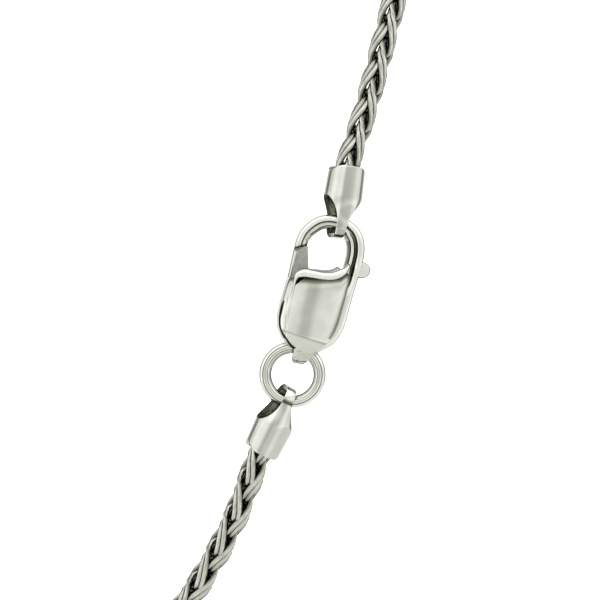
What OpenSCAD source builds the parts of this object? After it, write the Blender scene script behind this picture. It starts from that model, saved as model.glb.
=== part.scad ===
// Wheat chain necklace with a lobster clasp, hanging from its crown.
// The loop lies in the XZ plane, +Z up. The origin is where the chain hangs: the middle of the
// underside of its highest point. The clasp and the caps are drawn upright about their own
// middles, then leant in the plane of the loop.

/* [Chain] */
// Width of the chain across its links
chain_d = 2.4; // [2:0.1:2.8]
// Length of chain held inside each end cap
chain_grip = 2.2; // [1.5:0.1:2.6]
// Clearance between the chain and the cap
chain_gap = 0.1; // [0.05:0.01:0.15]

/* [Placing] */
// Width of the loop between the chain's middle lines, at its widest
loop_w = 95.8; // [90:0.2:100]
// Distance of the clasp's middle to the right of the crown
clasp_x = 32; // [30:0.5:34]
// Drop of the clasp's middle below the crown
clasp_drop = 144; // [142:0.5:146]
// Lean of the clasp from upright, to the right
clasp_lean = 12.3; // [8:0.1:16]
// Lean of the upper end cap from upright
upper_lean = 8.4; // [4:0.1:14]
// Lean of the lower end cap from upright
lower_lean = 26.2; // [18:0.1:32]
// Turn of each cap about its own axis
cap_turn = 20; // [0:1:30]
// Swing of the jump ring, to the left of the clasp's own upright
ring_swing = 15.2; // [8:0.1:20]
// Place on the ring where the lower cap bears, in degrees to the left of straight down
ring_bear = 10.7; // [4:0.1:16]
// Distance of the upper cap's bearing to the right of the hook's middle
hook_bear = 0.36; // [0:0.02:0.4]

/* [Clasp body] */
// Width across the flanges
clasp_w = 6.2; // [5.6:0.1:6.8]
// Thickness of the flange, front to back
clasp_t = 2.3; // [2:0.1:2.8]
// Drop of the rounded foot's lowest edge below the clasp's middle
foot_drop = 5.95; // [5.6:0.05:6.3]
// Width of the flange left bare beside the pillow
flange_w = 0.8; // [0.5:0.05:1.1]
// Height of the pillow's crown in front of the flange
pillow_rise = 0.75; // [0.6:0.05:1]
// Fall of the pillow from its crown to its edges
pillow_fall = 0.5; // [0.2:0.05:0.5]
// Height of the bevel at the pillow's foot
bevel_h = 1.5; // [1:0.1:2]
// Radius of the lip's left corner
corner_r = 0.8; // [0.5:0.05:1]
// Width of the gate's foot left bare beside the lip's corner
gate_bare = 0.5; // [0.3:0.05:0.7]

/* [Hook] */
// Height of the hook's top above the clasp's middle
hook_up = 6.75; // [6.5:0.05:7]
// Width across the outside of the hook
hook_w = 6.4; // [6.2:0.1:6.8]
// Thickness of the hook's band, seen from the front
hook_band = 1.2; // [1:0.05:1.3]
// Depth of the hook's band, front to back
hook_depth = 1.7; // [1.5:0.05:1.9]
// Distance of the hook's middle to the right of the body's
hook_shift = 0.25; // [0.1:0.05:0.4]
// Drop of the tip's outer end below the hook's middle
tip_drop = 0.55; // [0.4:0.05:0.7]
// Slope of the joint between the tip and the gate, in degrees
tip_slope = 28; // [20:1:34]

/* [Clasp eye] */
// Drop of the eye's tab below the clasp's middle
tab_drop = 7; // [6.8:0.05:7.2]
// Width of the tab round the eye
tab_w = 2; // [1.6:0.1:2.4]
// Metal below the eye
tab_wall = 0.45; // [0.35:0.05:0.55]
// Distance of the right end of the tab's flat foot from the tab's middle
tab_flat = 0.3; // [0.2:0.05:0.4]
// Bore of the eye that holds the ring
eye_d = 1.7; // [1.6:0.05:1.8]

/* [Lever] */
// Thickness of the lever
lever_t = 1.1; // [0.9:0.05:1.2]
// Clearance of the lever in its slot, on each side
slot_gap = 0.1; // [0.06:0.01:0.12]
// Clearance of the lever over its swing, in the plane of the clasp
swing_gap = 0.15; // [0.1:0.01:0.2]
// Gap between the gate and the hook's tip
tip_gap = 0.1; // [0.06:0.01:0.15]
// Drop of the pivot below the clasp's middle
pivot_drop = 0.2; // [0.1:0.05:0.3]
// Distance of the pivot to the left of the body's middle
pivot_left = 1; // [0.9:0.05:1.1]
// Radius of the boss round the pivot
boss_r = 0.85; // [0.75:0.05:0.9]
// Height of the gate's foot above the clasp's middle
gate_foot = 0.4; // [0.3:0.05:0.5]
// Height of the thumb nub above the lip
nub_up = 0.9; // [0.8:0.05:1]
// Reach of the thumb nub past the hook's outer edge
nub_reach = 0.67; // [0.5:0.01:0.9]
// Radius of the thumb nub
nub_r = 0.62; // [0.5:0.01:0.65]
// Opening swing of the lever, in degrees
swing = 18; // [12:1:18]

/* [Pin] */
// Diameter of the pivot pin
pin_d = 0.7; // [0.6:0.05:0.8]
// Radial clearance of the lever on its pin
pin_gap = 0.04; // [0.02:0.01:0.08]
// Radial clearance of the pin in the body
pin_seat = 0.01; // [0.01:0.01:0.03]
// Depth of the pin's end behind the pillow's edge
pin_cover = 0.3; // [0.2:0.05:0.4]

/* [Jump ring] */
// Outside diameter of the jump ring
ring_d = 6; // [5.8:0.1:6.4]
// Thickness of its wire
ring_wire = 1.1; // [0.9:0.05:1.15]

/* [End caps] */
// Length of a cap from the inside of the strap's bend to the mouth
cap_len = 6.15; // [5.8:0.05:6.5]
// Wall round the chain where the side cuts end
cap_wall = 0.45; // [0.4:0.05:0.55]
// Wall round the chain at the mouth
mouth_wall = 0.35; // [0.3:0.05:0.4]
// Least reach of the tube outside the strap's corners
cap_rim = 0.05; // [0.02:0.01:0.08]
// Height of the side cuts' tips above the bend
cut_h = 3.4; // [3:0.05:3.7]
// Height of the strap before it flares
flare_z = 0.7; // [0.4:0.05:1]
// Width of the strap where it bears
strap_w = 1.06; // [0.9:0.02:1.2]
// Thickness of the strap
strap_t = 0.4; // [0.3:0.05:0.45]
// Clearance of the strap beside what it holds
strap_gap = 0.1; // [0.06:0.01:0.15]
// Slack between the strap's bend and what it holds
bend_slack = 0.38; // [0.34:0.01:0.5]
// Depth of the scallop in each side of the mouth
scallop_h = 0.7; // [0.4:0.05:1]
// Radius of the scallops
scallop_r = 1.3; // [1.1:0.05:1.5]

/* [Hidden] */
silver = [0.79, 0.79, 0.75];
$fn = 64;
// Reach of a cutting tool past what it cuts
over = 1;

// Route of the chain's middle line from the upper cap over the crown and round to the lower
// cap. Columns: to the right of the crown in hundredths of half the loop's width, and below the
// crown in hundredths of the clasp's drop.
ROUTE = [
    [75.2, 90.1], [80.8, 83.1], [87.7, 73.8], [93.5, 63.3], [97.7, 52.9], [100, 42.5],
    [99.8, 32.4], [93.1, 22], [77.2, 12.6], [54.3, 5.6], [28.2, 1.5], [0, 0], [-28.2, 1.5],
    [-54.3, 5.6], [-77.2, 12.6], [-93.1, 22], [-99.8, 32.4], [-100, 42.5], [-97.7, 52.9],
    [-93.3, 63.3], [-88.1, 73.8], [-82.7, 83.1], [-76.4, 93.2], [-68.7, 104], [-59.7, 113.3],
    [-47.8, 121.2], [-28, 127.2], [-3.1, 129.3], [22.5, 127.1], [40.5, 121.1], [50.9, 115.3]
];
// Spacing of the tube's rings, and its sides
ring_step = 6.2;
chain_sides = 8;
// The lever's arm from the boss up to the nub, in millimetres. Columns: to the right of the
// pivot, above the pivot, half the arm's height there.
ARM = [[0.42, 0, 0.42], [1.7, 0.5, 0.42], [2.9, 1.35, 0.45], [3.4, 1.95, 0.5]];

// A place in the loop's plane is [x, z]. A lean carries upright towards the right.
function lean(p, a) = [p.x * cos(a) + p.y * sin(a), p.y * cos(a) - p.x * sin(a)];
function up(a) = [sin(a), cos(a)];
clasp_at = [clasp_x, -clasp_drop];
function from_clasp(p) = clasp_at + lean(p, clasp_lean);

// The hook is an arch of one radius about its own middle
hook_r = hook_w / 2;
hook_in = hook_r - hook_band;
hook_z = hook_up - hook_r;
lip_z = hook_z - hook_in;
gate_x = hook_shift - hook_r;
function joint_z(x) = hook_z - tip_drop + (x - gate_x) * tan(tip_slope);

// The eye, and the ring that hangs in it
eye_z = tab_wall + eye_d / 2 - tab_drop;
ring_r = (ring_d - ring_wire) / 2;
ring_at = from_clasp([-ring_r * sin(ring_swing), eye_z - ring_r * cos(ring_swing)]);

// The caps hang with a little slack on the hook's and the ring's inner edges
upper_axis = up(upper_lean);
lower_axis = -up(lower_lean);
hook_inner = [hook_shift + hook_bear, hook_z + sqrt(pow(hook_in, 2) - pow(hook_bear, 2))];
upper_at = from_clasp(hook_inner) - bend_slack * upper_axis;
lower_at = ring_at - (ring_r - ring_wire / 2) * up(ring_bear) - bend_slack * lower_axis;
bore_r = chain_d / 2 + chain_gap;
// Inside half width of the strap, made up to the next hundredth of a millimetre
strap_in = ceil(100 * (max(hook_depth, ring_wire) / 2 / cos(cap_turn) + strap_w / 2 * tan(cap_turn)
                       + strap_gap)) / 100;
strap_out = strap_in + strap_t;
cap_r = max(bore_r + cap_wall, norm([strap_w / 2, strap_out]) + cap_rim);
mouth_r = bore_r + mouth_wall;

// The route with its ends in the caps' bores
path = concat([upper_at + (cap_len - chain_grip) * upper_axis, upper_at + cap_len * upper_axis],
              [for (p = ROUTE) [p.x * loop_w / 200, chain_d / 2 - p.y * clasp_drop / 100]],
              [lower_at + cap_len * lower_axis, lower_at + (cap_len - chain_grip) * lower_axis]);
last = len(path) - 1;
function chord(i) = norm(path[i + 1] - path[i]);
function heading(i) = (path[i + 1] - path[i]) / chord(i);
function tangent(i) =
    i == 0 ? heading(0) :
    i == last ? heading(last - 1) :
    (chord(i) * heading(i - 1) + chord(i - 1) * heading(i)) / (chord(i - 1) + chord(i));
// A cubic from point i to point i + 1 that leaves and arrives along their tangents
function along(i, t) =
    (2 * t * t * t - 3 * t * t + 1) * path[i] + (3 * t * t - 2 * t * t * t) * path[i + 1]
    + chord(i) * ((t * t * t - 2 * t * t + t) * tangent(i) + (t * t * t - t * t) * tangent(i + 1));
function steps(i) = max(1, round(chord(i) / ring_step));
line = [for (i = [0 : last - 1]) for (k = [0 : steps(i) - 1]) along(i, k / steps(i)), path[last]];

// Turns an [x, y] drawing to stand in the XZ plane, with its thickness along Y
module upright(depth) { rotate([90, 0, 0]) linear_extrude(depth, center = true) children(); }
// Turns a drawing of [y, z] to lie across X
module across(width) {
    rotate([90, 0, 90]) linear_extrude(width, center = true) children();
}
module place(at, angle) { translate([at.x, 0, at.y]) rotate([0, angle, 0]) children(); }

// The chain's envelope: an eight-sided tube swept along the route
module chain() {
    rings = len(line);
    r = chain_d / 2;
    ahead = [for (i = [0 : rings - 1])
             let (d = line[min(i + 1, rings - 1)] - line[max(i - 1, 0)]) d / norm(d)];
    points = [for (i = [0 : rings - 1]) for (k = [0 : chain_sides - 1]) let (a = 360 / chain_sides * k)
              [line[i].x + r * cos(a) * ahead[i].y, r * sin(a), line[i].y - r * cos(a) * ahead[i].x]];
    walls = [for (i = [0 : rings - 2]) for (k = [0 : chain_sides - 1])
             let (n = (k + 1) % chain_sides, low = i * chain_sides, high = low + chain_sides)
             [low + k, low + n, high + n, high + k]];
    first_end = [for (k = [chain_sides - 1 : -1 : 0]) k];
    last_end = [for (k = [0 : chain_sides - 1]) (rings - 1) * chain_sides + k];
    color(silver) polyhedron(points, concat(walls, [first_end, last_end]));
}

// Half width of the strap at a height: level at the bend, then flaring out past the tube
flare_steps = 8;
flare_power = 1.15;
function strap_half(s) = strap_w / 2 + (cap_r + cap_rim - strap_w / 2) * pow(s, flare_power);
strap_edge = [for (i = [0 : flare_steps]) let (s = i / flare_steps)
              [strap_half(s), flare_z + s * (cut_h - flare_z)]];

// The strap's loop, seen from the side: a bend with round corners and upright walls to the waist.
// From there the walls follow the points of upper, which spread to the tube or close in a point.
waist = strap_out;
module loop(half, bottom, corner, upper) {
    width = 2 * cap_r + over;
    for (s = [-1, 1]) translate([0, s * (half - corner), bottom + corner]) rotate([0, 90, 0])
        cylinder(h = width, r = corner, center = true);
    across(width) polygon(concat(
        [[corner - half, bottom], [half - corner, bottom], [half, bottom + corner], [half, waist]],
        upper, [for (i = [len(upper) - 1 : -1 : 0]) [-upper[i].x, upper[i].y]],
        [[-half, waist], [-half, bottom + corner]]));
}

// The cap's outside, one turned shape with no seam at the cuts' tips: straight down to the bend,
// and tapering up to the mouth
module cap_outside() {
    rotate_extrude() polygon([
        [0, -strap_t - over], [cap_r, -strap_t - over], [cap_r, cut_h], [mouth_r, cap_len],
        [0, cap_len]]);
}

// One end cap: a short tube, cut away at both sides to leave straps in front and behind, which
// meet in a bend. Its own origin is the inside of the bend, with the mouth above.
module end_cap() {
    inner_corner = strap_in / 2;
    cut_tip = 0.05;
    clear_of_tube = cap_r + cap_rim;
    color(silver) difference() {
        intersection() {
            cap_outside();
            upright(2 * cap_r + over) polygon(concat(
                [[strap_w / 2, -strap_t - over]], strap_edge,
                [[clear_of_tube, cap_len + over], [-clear_of_tube, cap_len + over]],
                [for (i = [flare_steps : -1 : 0]) [-strap_edge[i].x, strap_edge[i].y]],
                [[-strap_w / 2, -strap_t - over]]));
            loop(strap_out, -strap_t, inner_corner + strap_t,
                 [[clear_of_tube, cut_h], [clear_of_tube, cap_len + over]]);
        }
        loop(strap_in, 0, inner_corner, [[cut_tip, cut_h]]);
        translate([0, 0, waist - cut_tip])
            cylinder(h = (cut_h - waist) / 2, r1 = strap_in - cut_tip, r2 = bore_r);
        translate([0, 0, (waist + cut_h) / 2 - 2 * cut_tip]) cylinder(h = cap_len, r = bore_r);
        translate([0, 0, cap_len - scallop_h + scallop_r]) rotate([0, 90, 0])
            cylinder(h = 2 * cap_r + over, r = scallop_r, center = true);
    }
}

module end_cap_upper() { place(upper_at, upper_lean) rotate(cap_turn) end_cap(); }
module end_cap_lower() { place(lower_at, lower_lean + 180) rotate(-cap_turn) end_cap(); }

// The body's front outline: a rounded foot, with sides that spread to the hook's width
half_w = clasp_w / 2;
foot_z = half_w - foot_drop;
module body_outline(inset) {
    translate([0, foot_z]) circle(half_w - inset);
    polygon([[inset - half_w, foot_z], [half_w - inset, foot_z],
             [hook_shift + hook_r - inset, hook_z], [gate_x + inset, hook_z]]);
}

// The space over the lip: the round mouth under the hook, the gate's place at its left, and
// the lip's rounded left corner
corner_x = gate_bare + corner_r - half_w;
module mouth_outline() {
    translate([hook_shift, hook_z]) circle(hook_in);
    translate([-hook_w, lip_z]) square([hook_w + hook_shift, hook_in + over]);
    difference() {
        translate([-hook_w, lip_z - corner_r]) square([hook_w + corner_x, corner_r + over]);
        translate([corner_x, lip_z - corner_r]) circle(corner_r);
    }
}

// Flange: the flat frame of the body. Its sides thin towards the hook.
module flange() {
    intersection() {
        upright(clasp_t) difference() { body_outline(0); mouth_outline(); }
        across(3 * hook_w) polygon([
            [-clasp_t / 2, -tab_drop], [clasp_t / 2, -tab_drop], [clasp_t / 2, lip_z],
            [hook_depth / 2, hook_z], [-hook_depth / 2, hook_z], [-clasp_t / 2, lip_z]]);
    }
}

// Pillow: the crowned front, bevelled down to the eye's tab at its foot
pillow_half = half_w - flange_w;
pillow_y = clasp_t / 2 + pillow_rise;
crown_r = (pow(pillow_half, 2) + pow(pillow_fall, 2)) / (2 * pillow_fall);
pillow_top = lip_z + corner_r;
module pillow() {
    intersection() {
        upright(2 * pillow_y) difference() {
            intersection() {
                body_outline(flange_w);
                translate([-half_w, -tab_drop]) square([clasp_w, tab_drop + pillow_top]);
            }
            mouth_outline();
        }
        translate([0, crown_r - pillow_y, -tab_drop]) cylinder(h = 2 * tab_drop, r = crown_r, $fn = 128);
        across(clasp_w) polygon([
            [0, -foot_drop], [-clasp_t / 2, -foot_drop], [-pillow_y, bevel_h - foot_drop],
            [-pillow_y, pillow_top], [0, pillow_top]]);
    }
}

// Hook: a rounded band bent in an arch, cut off aslant at its tip
tip_over = asin(tip_drop / hook_r);
module hook() {
    difference() {
        translate([hook_shift, 0, hook_z]) rotate([90, 0, 0]) rotate_extrude(angle = 180 + tip_over)
            translate([hook_r - hook_band / 2, 0]) {
                square([hook_band, hook_depth - hook_band], center = true);
                for (s = [-1, 1]) translate([0, s * (hook_depth - hook_band) / 2]) circle(hook_band / 2);
            }
        upright(hook_depth + over) polygon([
            [gate_x - over, joint_z(gate_x - over)], [0, joint_z(0)], [0, 0], [gate_x - over, 0]]);
    }
}

// Tab: a tapered plate folded round the eye
module tab() {
    top = foot_z - half_w / 2;
    intersection() {
        upright(clasp_t) polygon([
            [-tab_w / 2, top], [-tab_w / 2, tab_wall / 4 - tab_drop], [0, -tab_drop],
            [tab_flat, tab_wall / 2 - tab_drop], [tab_w / 2, -foot_drop], [tab_w / 2, top]]);
        across(tab_w + over) {
            translate([0, eye_z]) circle(eye_d / 2 + tab_wall);
            translate([-clasp_t / 2, eye_z]) square([clasp_t, top - eye_z]);
        }
    }
}

// Lever, drawn closed: gate up on the left, boss on the pin, arm across to the thumb nub
pivot = [-pivot_left, -pivot_drop];
nub = [hook_shift + hook_r + nub_reach - nub_r, lip_z + nub_up];
arm = concat([for (s = ARM) [pivot.x + s.x, pivot.y + s.y, s.z]], [[nub.x, nub.y, nub_r / 2]]);
function below_joint(x) = [x, joint_z(x) - tip_gap];
// The arm's upper edge out to the nub, and its lower edge back
function over_arm(gap) = [for (s = arm) [s.x, s.y + s.z + gap]];
function under_arm(gap, turn) =
    [for (i = [len(arm) - 1 : -1 : 0])
     pivot + lean([arm[i].x, arm[i].y - arm[i].z] - pivot, turn) - [0, gap]];
module disc(at, r) {
    translate([at.x, 0, at.y]) rotate([90, 0, 0]) cylinder(h = lever_t, r = r, center = true);
}
module lever() {
    upright(lever_t) polygon(concat(
        [[gate_x, gate_foot], below_joint(gate_x), below_joint(gate_x + hook_band),
         [gate_x + hook_band + gate_bare, lip_z]],
        over_arm(0), under_arm(0, 0), [pivot - [boss_r, boss_r] / 2]));
    disc(pivot, boss_r);
    disc(nub, nub_r);
}

// The slot in the body's middle plane that holds the lever over its whole swing
slot_t = lever_t + 2 * slot_gap;
room_r = boss_r + swing_gap;
module slot_outline() {
    translate(pivot) circle(room_r);
    translate(nub) circle(nub_r + swing_gap);
    translate([-hook_w, gate_foot - swing_gap]) square([hook_w - pivot_left + room_r / 2, hook_z]);
    polygon(concat(
        [[gate_x, gate_foot - swing_gap], pivot + [0, room_r / 2]], over_arm(swing_gap),
        [[hook_w, nub.y + nub_r]], [[hook_w, pivot.y]], under_arm(swing_gap, swing),
        [pivot - [room_r, room_r] / 2]));
}

pin_front = clasp_t / 2 + pillow_rise - pillow_fall - pin_cover;
module pin_at(radius, front, back) {
    translate([pivot.x, back, pivot.y]) rotate([90, 0, 0]) cylinder(h = front + back, r = radius);
}

module clasp_body() {
    color(silver) place(clasp_at, clasp_lean) difference() {
        union() {
            difference() {
                union() {
                    flange();
                    pillow();
                }
                upright(slot_t) slot_outline();
            }
            hook();
            tab();
        }
        translate([0, 0, eye_z]) rotate([0, 90, 0]) cylinder(h = 2 * clasp_w, d = eye_d, center = true);
        pin_at(pin_d / 2 + pin_seat, pin_front + pin_seat, clasp_t);
    }
}

module clasp_lever() {
    color(silver) place(clasp_at, clasp_lean) difference() {
        lever();
        pin_at(pin_d / 2 + pin_gap, clasp_t, clasp_t);
    }
}

module lever_pin() {
    color(silver) place(clasp_at, clasp_lean) pin_at(pin_d / 2, pin_front, clasp_t / 2);
}

module jump_ring() {
    color(silver) place(ring_at, 0) rotate([90, 0, 0]) rotate_extrude()
        translate([ring_r, 0]) circle(ring_wire / 2);
}

chain();
end_cap_upper();
end_cap_lower();
clasp_body();
clasp_lever();
lever_pin();
jump_ring();
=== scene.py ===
import math

import bmesh
import bpy
import numpy as np
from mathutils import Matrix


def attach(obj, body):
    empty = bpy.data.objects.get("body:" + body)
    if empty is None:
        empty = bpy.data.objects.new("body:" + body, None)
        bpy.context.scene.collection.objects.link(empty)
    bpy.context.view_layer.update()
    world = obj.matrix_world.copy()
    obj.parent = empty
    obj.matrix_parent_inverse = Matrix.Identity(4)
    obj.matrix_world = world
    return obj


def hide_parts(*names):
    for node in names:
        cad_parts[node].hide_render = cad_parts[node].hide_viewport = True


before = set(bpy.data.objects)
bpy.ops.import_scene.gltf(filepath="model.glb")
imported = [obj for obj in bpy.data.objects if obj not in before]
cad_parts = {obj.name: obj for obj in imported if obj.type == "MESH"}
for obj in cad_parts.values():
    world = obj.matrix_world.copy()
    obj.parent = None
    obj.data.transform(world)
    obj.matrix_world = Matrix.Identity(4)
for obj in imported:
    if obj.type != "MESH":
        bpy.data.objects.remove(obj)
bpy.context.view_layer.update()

# Clasp frame: the cast silver band of the lobster clasp. It runs from the hook's tip over the
# arch and down the right side, then under the foot and up the left side. Its front is rolled
# outside and bevelled inside on the hook, and flattens to a flange beside the pillow.
MM = 0.001
CLASP_AT = np.array([32.0, -144.0])
CLASP_LEAN = 12.3


def leant(points, angle):
    """Each [x, z] turned so that upright leans to the right by the angle, in degrees."""
    c, s = math.cos(math.radians(angle)), math.sin(math.radians(angle))
    return np.stack([points[..., 0] * c + points[..., 1] * s,
                     points[..., 1] * c - points[..., 0] * s], -1)


def on_clasp(points):
    """Clasp millimetres [x, y, z] to the loop's plane: leant with the clasp, then moved to it."""
    flat = leant(points[..., [0, 2]], CLASP_LEAN) + CLASP_AT
    return np.stack([flat[..., 0], points[..., 1], flat[..., 1]], -1)


def curve_through(knots, count, closed=False):
    """Points evenly spread along a cubic through the knots. At each knot the tangent is the
    mean of the two chords' headings, each weighted by the other chord's length."""
    knots = np.asarray(knots, float)
    ring = np.vstack([knots, knots[:1]]) if closed else knots
    chord = np.diff(ring, axis=0)
    size = np.linalg.norm(chord, axis=1)[:, None]
    heading = chord / size
    if closed:
        before, after = np.roll(heading, 1, 0), heading
        b, a = np.roll(size, 1, 0), size
        tangent = (a * before + b * after) / (a + b)
        tangent = np.vstack([tangent, tangent[:1]])
    else:
        inner = (size[1:] * heading[:-1] + size[:-1] * heading[1:]) / (size[:-1] + size[1:])
        tangent = np.vstack([heading[:1], inner, heading[-1:]])
    t = np.linspace(0, 1, 40, endpoint=False)[None, :, None]
    p, q = ring[:-1, None], ring[1:, None]
    m, n = tangent[:-1, None] * size[:, None], tangent[1:, None] * size[:, None]
    fine = ((2*t**3 - 3*t**2 + 1) * p + (3*t**2 - 2*t**3) * q
            + (t**3 - 2*t**2 + t) * m + (t**3 - t**2) * n).reshape(-1, knots.shape[1])
    fine = np.vstack([fine, ring[-1:]])
    run = np.r_[0, np.cumsum(np.linalg.norm(np.diff(fine, axis=0), axis=1))]
    at = np.linspace(0, run[-1], count, endpoint=not closed)
    return np.stack([np.interp(at, run, fine[:, k]) for k in range(fine.shape[1])], -1)


def headings(line, closed=False):
    """The unit direction of the line at each of its points, from its two neighbours."""
    if closed:
        step = np.roll(line, -1, 0) - np.roll(line, 1, 0)
    else:
        step = np.gradient(line, axis=0)
    return step / np.linalg.norm(step, axis=1)[:, None]


def grid_faces(rows, columns, wrap_rows=False, wrap_columns=False):
    """Four-sided faces of a grid of points that is stored row by row."""
    i, j = np.meshgrid(np.arange(rows - (not wrap_rows)),
                       np.arange(columns - (not wrap_columns)), indexing="ij")
    k, m = (i + 1) % rows, (j + 1) % columns
    return np.stack([i * columns + j, k * columns + j, k * columns + m, i * columns + m],
                    -1).reshape(-1, 4)


def piece(name, points, faces, finish, replaced, body="necklace", painted_light=1.0):
    """A mesh of millimetre points as a smooth-shaded piece that rides on a body. Each point's
    painted value is 1 where the metal keeps its own colour and falls to 0 where shade, dark lines
    and reflections are painted in."""
    mesh = bpy.data.meshes.new(name)
    mesh.from_pydata((points.reshape(-1, 3) * MM).tolist(), [], [list(f) for f in faces])
    mesh.validate()
    mesh.shade_smooth()
    mesh.materials.append(finish)
    bright = mesh.attributes.new("painted_light", "FLOAT", "POINT")
    bright.data.foreach_set("value", (np.zeros(points.shape[:-1]) + painted_light)
                            .astype(np.float32).ravel())
    thing = bpy.data.objects.new(name, mesh)
    bpy.context.scene.collection.objects.link(thing)
    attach(thing, body)
    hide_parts(replaced)
    return thing


def node(tree, kind, settings=None, links=None):
    """Adds a node with its settings and input links. Settings whose key is a number or an
    input's name set that socket; the others are the node's own."""
    made = tree.nodes.new(kind)
    for key, value in (settings or {}).items():
        if isinstance(key, int) or key in made.inputs:
            made.inputs[key].default_value = value
        else:
            setattr(made, key, value)
    for key, source in (links or {}).items():
        tree.links.new(source, made.inputs[key])
    return made


def linear(code, alpha=1.0):
    """The sRGB hex colour as linear values."""
    parts = [int(code[k:k + 2], 16) / 255 for k in (0, 2, 4)]
    return [c / 12.92 if c <= 0.04045 else ((c + 0.055) / 1.055) ** 2.4 for c in parts] + [alpha]


def ramp(tree, stops, source):
    """A colour ramp through the stops, each a place and an sRGB hex colour."""
    made = node(tree, "ShaderNodeValToRGB", links={0: source})
    band = made.color_ramp
    while len(band.elements) < len(stops):
        band.elements.new(0.5)
    for element, (place, code) in zip(band.elements, stops):
        element.position = place
        element.color = linear(code)
    return made


def silver(name, dark, light, rough_low, rough_high, swirl_mm, bump_mm, paints_shade=True):
    """Metal whose tint and gloss vary in soft patches of a given size, with a fine relief from
    polishing. Where painted shade is on, it darkens to an olive black as each point's painted value
    falls to 0, which paints in shade, dark lines and reflections."""
    made = bpy.data.materials.new(name)
    made.use_nodes = True
    tree = made.node_tree
    face = tree.nodes["Principled BSDF"]
    place = node(tree, "ShaderNodeTexCoord").outputs["Object"]
    patches = node(tree, "ShaderNodeTexNoise", {"Scale": 1 / (swirl_mm * MM), "Detail": 3.0},
                   {"Vector": place})
    tint = ramp(tree, [(0.3, dark), (0.7, light)], patches.outputs["Fac"])
    colour = tint.outputs["Color"]
    if paints_shade:
        # Painted shade: each point's value darkens the tint through this ramp, from full colour at
        # 1 to olive black at 0.
        painted_light = node(tree, "ShaderNodeAttribute", {"attribute_name": "painted_light"})
        shade = ramp(tree, [(0.0, "2A2A20"), (0.5, "85847A"), (1.0, "FFFFFF")],
                     painted_light.outputs["Fac"])
        mixed = node(tree, "ShaderNodeMix", {"data_type": "RGBA", "blend_type": "MULTIPLY",
                                             "Factor": 1.0}, {6: colour, 7: shade.outputs["Color"]})
        colour = mixed.outputs[2]
    tree.links.new(colour, face.inputs["Base Color"])
    gloss = node(tree, "ShaderNodeMapRange", {"To Min": rough_low, "To Max": rough_high},
                 {"Value": patches.outputs["Fac"]})
    tree.links.new(gloss.outputs["Result"], face.inputs["Roughness"])
    grain = node(tree, "ShaderNodeTexNoise", {"Scale": 1 / (bump_mm * MM), "Detail": 2.0},
                 {"Vector": place})
    relief = node(tree, "ShaderNodeBump", {"Strength": 0.12, "Distance": 0.02 * MM},
                  {"Height": grain.outputs["Fac"]})
    tree.links.new(relief.outputs["Normal"], face.inputs["Normal"])
    face.inputs["Metallic"].default_value = 1.0
    return made


# Sterling silver, cast, tumbled and rhodium plated: a cool near-white mirror with faint waves
polished = silver("rhodium_silver_polished", "D0D1CA", "DEDFD8", 0.08, 0.16, 1.6, 0.5)

# Outer edge of the band in clasp millimetres, [x, z], from the tip over the top to the left
TIP_SLOPE = 28
BAND_EDGE = [
    [-2.93, 2.95], [-2.92, 3.9], [-2.7, 4.8], [-2.2, 5.62], [-1.5, 6.28], [-0.65, 6.66],
    [0.25, 6.76], [1.1, 6.68], [1.8, 6.42], [2.42, 6.02], [2.92, 5.4], [3.25, 4.6], [3.4, 3.7],
    [3.4, 2.9], [3.3, 1.5], [3.18, 0], [3.1, -1.5], [3.0, -2.9], [2.78, -3.9], [2.3, -4.72],
    [1.6, -5.35], [0.8, -5.85], [0, -5.95], [-0.9, -5.88], [-1.7, -5.5], [-2.4, -4.95],
    [-2.88, -4.25], [-3.12, -3.4], [-3.18, -2.4], [-3.12, -1.2], [-3.04, -0.1], [-2.98, 0.4]]
# Sections of the band, each point [inwards from the edge in shares of the width, front to back in
# shares of half the depth, painted shade value, 1 for none]. The hook has a rolled outer half, a
# groove darkened by painted shade and a facet. Its right leg has a deep groove darkened by painted
# shade and a bright inner edge. The flange is flat, with a soft band of painted shade across its
# middle.
HOOK_SECTION = np.array([
    [0, 0, 1], [0, -0.4, 1], [0.03, -0.66, 1], [0.1, -0.86, 1], [0.2, -0.97, 1], [0.3, -1, 1],
    [0.4, -0.98, 1], [0.47, -0.92, 0.9], [0.5, -0.86, 0.4], [0.525, -0.8, 0.05],
    [0.55, -0.8, 0.05], [0.58, -0.82, 0.6], [0.64, -0.8, 0.85], [0.72, -0.73, 0.9],
    [0.8, -0.64, 0.9], [0.87, -0.54, 0.85], [0.92, -0.45, 0.8], [0.95, -0.38, 0.35],
    [0.98, -0.28, 0.2], [1, -0.1, 0.5], [1, 0.1, 0.9], [1, 0.35, 1], [0.95, 0.65, 1],
    [0.8, 0.88, 1], [0.6, 0.97, 1], [0.3, 1, 1], [0.08, 0.75, 1], [0, 0.3, 1]])
LEG_SECTION = np.array([
    [0, 0, 1], [0, -0.4, 1], [0.03, -0.66, 1], [0.1, -0.86, 1], [0.2, -0.97, 1], [0.3, -1, 1],
    [0.4, -0.98, 1], [0.46, -0.93, 0.9], [0.49, -0.88, 0.35], [0.52, -0.82, 0.1],
    [0.56, -0.72, 0.06], [0.62, -0.66, 0.06], [0.69, -0.66, 0.08], [0.74, -0.72, 0.3],
    [0.78, -0.8, 0.95], [0.86, -0.84, 1], [0.94, -0.8, 0.9], [0.98, -0.72, 0.3],
    [1, -0.62, 0.2], [1.08, -0.45, 0.85], [1.2, -0.1, 1], [1.28, 0.3, 1], [1.25, 0.7, 1],
    [1, 0.95, 1], [0.6, 1, 1], [0.3, 0.98, 1], [0.06, 0.75, 1], [0, 0.3, 1]])
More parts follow.
